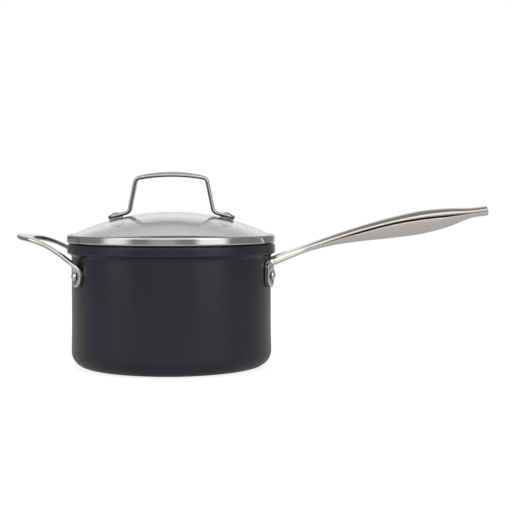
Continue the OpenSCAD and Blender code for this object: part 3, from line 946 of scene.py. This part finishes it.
loop_rings = [loop_ring(1 - i / loop_steps) for i in range(loop_steps + 1)]
# Painted shade at half strength in the loop's groove, and in the rivet recesses of the pads.
loop_shade = [0.5] * len(loop_rings)
helper_pads = []
pad_from = 3.0
for share in (0.0, 0.09, 0.18, 0.27, 0.36, 0.45, 0.54, 0.63, 0.71, 0.79, 0.86, 0.92, 0.96, 0.99):
    high = pad_from - (pad_from + loop_pad_r) * share
    half = math.sqrt(max(0.3, loop_pad_r ** 2 - high * high))
    helper_pads.append(pad_ring(180 - loop_angle, -1, half, rivet_z + high, loop_pad_t))
into_wall = (loop_place(0.0)[0] - loop_place(0.05)[0]).normalized()
joins = joining_rings(loop_rings[-1], helper_pads[0][0], into_wall, 9, 0.35, 0.3)
loop_rings += joins + [ring for ring, _ in helper_pads]
loop_shade += [0.0] * len(joins) + [recessed for _, recessed in helper_pads]

helper_handle = skin("helper_handle_casting", loop_rings, loop_shade, 0, cast_steel, 2)
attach(helper_handle, "pan")
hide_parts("helper_handle")

# ---------------------------------------------------------------- pan rivets
# Four steel rivets hold the handles on. Each has a low domed head outside and a wide flat one
# inside the pan, headed over in a press, with a small flat left on the dome.


def rivet_tree():
    """Puts one turned rivet at each point of a mesh, along the point's own direction."""
    inputs = (
        ("Outline", "Geometry"), ("Places", "Object"), ("Steps round", "Int"), ("Finish", "Material"))
    made, given, result = geometry_tree("rivets", inputs, "Rivets")
    one = add_node(made.nodes, "GeometryNodeGroup", node_tree=lathe)
    places = add_node(made.nodes, "GeometryNodeObjectInfo")
    aim = add_node(made.nodes, "GeometryNodeInputNamedAttribute", data_type="FLOAT_VECTOR")
    aim.inputs["Name"].default_value = "aim"
    turn = add_node(made.nodes, "FunctionNodeAlignRotationToVector", axis="Z")
    scatter = add_node(made.nodes, "GeometryNodeInstanceOnPoints")
    real = add_node(made.nodes, "GeometryNodeRealizeInstances")
    finish = add_node(made.nodes, "GeometryNodeSetMaterial")
    link = made.links.new
    link(given.outputs["Outline"], one.inputs["Outline"])
    link(given.outputs["Steps round"], one.inputs["Steps round"])
    link(given.outputs["Finish"], one.inputs["Finish"])
    link(given.outputs["Places"], places.inputs["Object"])
    link(aim.outputs["Attribute"], turn.inputs["Vector"])
    link(places.outputs["Geometry"], scatter.inputs["Points"])
    link(one.outputs["Turned piece"], scatter.inputs["Instance"])
    link(turn.outputs["Rotation"], scatter.inputs["Rotation"])
    link(scatter.outputs["Instances"], real.inputs["Geometry"])
    link(real.outputs["Geometry"], finish.inputs["Geometry"])
    link(given.outputs["Finish"], finish.inputs["Material"])
    link(finish.outputs["Geometry"], result.inputs["Rivets"])
    return made


rivets = rivet_tree()


def dome_profile(r, rise, base, way, steps=7):
    """A rivet head's outline from the axis to the brim; way is 1 for up and -1 for down."""
    dome = (r * r + rise * rise) / (2 * rise)
    widest = math.asin(min(1.0, r / dome))
    flat = 0.24 * widest
    turns = [flat + (widest - flat) * i / steps for i in range(steps + 1)]
    points = [(dome * math.sin(t), base + way * (rise - dome + dome * math.cos(t))) for t in turns]
    return [(0.0, points[0][1])] + points


def set_rivets(name, places, head, tail, shank_r, finish):
    """Rivets at places (point, direction); head and tail are outlines from the axis out."""
    points = bpy.data.meshes.new(name + "_places")
    points.from_pydata([point * mm for point, _ in places], [], [])
    aims = points.attributes.new("aim", "FLOAT_VECTOR", "POINT")
    for item, (_, direction) in zip(aims.data, places):
        item.vector = direction
    holder = bpy.data.objects.new(name + "_places", points)
    bpy.context.collection.objects.link(holder)
    outline = head + [(shank_r, head[-1][1]), (shank_r, tail[-1][1])] + tail[::-1]
    mesh = outline_mesh(name, outline)
    piece = bake_tree(name, mesh, rivets, {"Places": holder, "Steps round": 48, "Finish": finish})
    bpy.data.objects.remove(holder)
    face_outwards(piece)
    return piece


rivet_steel, shader, tree, place = finish_with("rivet_steel", (0.7, 0.7, 0.69), 1.0, 0.22)
pressed = noise(tree, place, 1500.0, 3.0)
scuff = use_group(tree, scuffs, Place=place, Amount=0.6)["Scuff"]
tree.links.new(scaled(tree, pressed, 0.12, 0.3), shader.inputs["Roughness"])
tree.links.new(tinted(tree, pressed, (0.6, 0.6, 0.59), (0.76, 0.76, 0.75)), shader.inputs["Base Color"])
raised(tree, shader, math_node(tree, "SUBTRACT", pressed, scuff), 0.15, 0.00005)


def on_wall(angle):
    """A point on the wall at rivet height and the way out from it."""
    way = Vector((math.cos(math.radians(angle)), math.sin(math.radians(angle)), 0))
    return way * wall_r + Vector((0, 0, rivet_z)), way


shank_r = 2.5
inner_head = dome_profile(6.5, 1.8, -3.4, -1)
for handle, angles, seat in (
    ("long_handle", (-fork_angle, fork_angle), fork_pad_t + 0.25),
    ("helper_handle", (180 + loop_angle, 180 - loop_angle), loop_pad_t + 0.25),
):
    piece = set_rivets(
        handle + "_rivets", [on_wall(angle) for angle in angles],
        dome_profile(4.1, 2.6, seat, 1), inner_head, shank_r, rivet_steel)
    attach(piece, "pan")
    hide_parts(handle + "_rivet_front", handle + "_rivet_back")

# ---------------------------------------------------------------- lid handle
# A steel strap bent into a square hoop: a gently arched grip, two legs that lean out, and two
# feet that lie on the glass over soft grommets. Tumbled, so its edges are rounded and satin.
grip_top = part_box("lid_handle")[1][2] / mm
strap_t = 3.2
strap_half = 7.0
grip_half = 10.0
arch_x = 29.0
arch_drop = 3.4
crown_r = 28.0
bend_r = 5.2
foot_bend_r = 6.0
leg_lean = math.radians(11.4)
foot_x = 50.0
foot_tilt = math.asin(foot_x / dome_r)
foot_lift = 1.0
foot_reach = 6.8
strap_round = 1.45


def clock(turn):
    """A way in the XZ plane, turned from straight up towards +X."""
    return Vector((math.sin(turn), math.cos(turn)))


arch_top_r = (arch_x ** 2 + arch_drop ** 2) / (2 * arch_drop)
arch_r = arch_top_r - strap_t / 2
arch_mid = Vector((0, grip_top - arch_top_r))
arch_half = math.asin(arch_x / arch_top_r)
bend_mid = arch_mid + (arch_r - bend_r) * clock(arch_half)
leg_clock = math.pi / 2 - leg_lean
leg_top = bend_mid + bend_r * clock(leg_clock)
leg_way = Vector((math.sin(leg_lean), -math.cos(leg_lean)))
foot_line_r = dome_r + foot_lift + strap_t / 2
foot_point = Vector((0, dome_mid)) + foot_line_r * clock(foot_tilt)
foot_way = Vector((math.cos(foot_tilt), -math.sin(foot_tilt)))
cross = leg_way.x * foot_way.y - leg_way.y * foot_way.x
gap = foot_point - leg_top
leg_length = (gap.x * foot_way.y - gap.y * foot_way.x) / cross
foot_turn = math.pi / 2 - leg_lean - foot_tilt
trim = foot_bend_r * math.tan(foot_turn / 2)
leg_end = leg_top + leg_way * (leg_length - trim)
foot_bend_mid = leg_end + foot_bend_r * Vector((math.cos(leg_lean), math.sin(leg_lean)))
lens_r = (arch_x ** 2 + (grip_half - strap_half) ** 2) / (2 * (grip_half - strap_half))

# Stations along half the strap: place, the way its outer face looks, half the width, how
# much of the grip's rounded back is left, and how far the section is drawn in all round.
half_strap = []
for i in range(17):
    turn = arch_half * i / 16
    at = arch_mid + arch_r * clock(turn)
    wide = grip_half - lens_r + math.sqrt(lens_r ** 2 - min(at.x, arch_x) ** 2)
    half_strap.append((at, clock(turn), wide, 1.0, 0.0))
for i in range(1, 13):
    share = i / 12
    turn = arch_half + (leg_clock - arch_half) * share
    half_strap.append((bend_mid + bend_r * clock(turn), clock(turn), strap_half, 1 - share, 0.0))
for share in (0.05, 0.5, 0.95):
    half_strap.append((leg_top.lerp(leg_end, share), clock(leg_clock), strap_half, 0.0, 0.0))
for i in range(13):
    turn = math.pi + foot_tilt + foot_turn * (1 - i / 12)
    half_strap.append((foot_bend_mid + foot_bend_r * clock(turn), -clock(turn), strap_half, 0.0, 0.0))
end_round = 6.0
end_edge = 0.7
for i in range(11):
    turn = math.radians(78 * i / 10)
    reach = foot_reach - end_edge - end_round * (1 - math.sin(turn) / math.sin(math.radians(78)))
    wide = strap_half - end_round * (1 - math.cos(turn))
    half_strap.append((foot_point + foot_way * reach, clock(foot_tilt), wide, 0.0, 0.0))
for turn in (30, 60, 90):
    t = math.radians(turn)
    reach = foot_reach - end_edge * (1 - math.sin(t))
    drawn_in = end_edge * (1 - math.cos(t))
    half_strap.append((foot_point + foot_way * reach, clock(foot_tilt), wide, 0.0, drawn_in))


def strap_ring(station, side):
    """The strap's rounded section; side is 1 for the right half and -1 for the left."""
    at, outwards, wide, crowned, drawn_in = station
    half_t = strap_t / 2
    corner = arc(0, 0, strap_round, 0, 90, 5)
    y, v = wide - strap_round, half_t - strap_round
    quarter = [(y + a, v + b) for a, b in corner] + [(y * 0.6, half_t), (y * 0.2, half_t)]
    upper = quarter + [(-a, b) for a, b in quarter[::-1]]
    section = upper + [(a, -b) for a, b in upper[::-1]]
    ring = []
    for a, b in section:
        a *= 1 - drawn_in / max(wide, drawn_in + 0.1)
        b *= 1 - drawn_in / half_t
        b -= crowned * a * a / (2 * crown_r)
        ring.append(Vector((side * (at.x + outwards.x * b), a, at.y + outwards.y * b)))
    return ring


strap_rings = [strap_ring(station, -1) for station in half_strap[:0:-1]]
strap_rings += [strap_ring(station, 1) for station in half_strap]

shape = bmesh.new()
# The lower half of the section is painted darker: a painted shade and reflection of the dark pan below
# it.
painted_underside_layer = shape.verts.layers.float.new("under")
painted_underside_share = 0.85
rows = [[shape.verts.new(p * mm) for p in ring] for ring in strap_rings]
for row in rows:
    for vertex in row[len(row) // 2:]:
        vertex[painted_underside_layer] = painted_underside_share
for before, after in zip(rows, rows[1:]):
    for i in range(len(before)):
        j = (i + 1) % len(before)
        shape.faces.new((before[i], before[j], after[j], after[i]))
shape.faces.new(rows[0])
shape.faces.new(reversed(rows[-1]))
bmesh.ops.remove_doubles(shape, verts=shape.verts, dist=2e-6)
bmesh.ops.recalc_face_normals(shape, faces=shape.faces)
strap_mesh = bpy.data.meshes.new("lid_handle_strap")
shape.to_mesh(strap_mesh)
shape.free()
for face in strap_mesh.polygons:
    face.use_smooth = True

strap_steel, shader, tree, place = finish_with("strap_steel", (0.4, 0.4, 0.39), 1.0, 0.3)
strap_mesh.materials.append(strap_steel)
tumbled = noise(tree, place, 1100.0, 4.0)
grain = noise(tree, stretched(tree, place, (1.0, 0.1, 1.0)), 800.0, 2.0)
scuff = use_group(tree, scuffs, Place=place, Amount=0.6)["Scuff"]
tree.links.new(scaled(tree, tumbled, 0.16, 0.28), shader.inputs["Roughness"])
bright = tinted(tree, grain, (0.4, 0.4, 0.395), (0.54, 0.535, 0.53))
# Painted shade: the strap's lower half is painted near black where it faces the pan.
colour = masked(tree, attribute(tree, "under"), bright, (0.12, 0.118, 0.115))
tree.links.new(colour, shader.inputs["Base Color"])
raised(tree, shader, math_node(tree, "SUBTRACT", tumbled, scuff), 0.15, 0.00005)

lid_strap = bpy.data.objects.new("lid_handle_strap", strap_mesh)
bpy.context.collection.objects.link(lid_strap)
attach(lid_strap, "lid")
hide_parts("lid_handle")

# ---------------------------------------------------------------- lid rivets
# Two rivets go down through the strap's feet, the grommets, the glass and the washers, with a
# domed head on top and a small one under the washer.
foot_top = foot_lift + strap_t + 0.05
washer_low = -(glass_t + 0.15 + 0.8 + 0.05 + 1.0)
lid_rivet_places = []
for side in (-1, 1):
    way = Vector((side * math.sin(foot_tilt), 0, math.cos(foot_tilt)))
    lid_rivet_places.append((way * dome_r + Vector((0, 0, dome_mid)), way))
lid_rivets = set_rivets(
    "lid_rivets", lid_rivet_places, dome_profile(4.2, 1.5, foot_top, 1),
    dome_profile(4.0, 1.6, washer_low - 0.05, -1), shank_r, rivet_steel)
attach(lid_rivets, "lid")
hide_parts("lid_rivet_left", "lid_rivet_right")
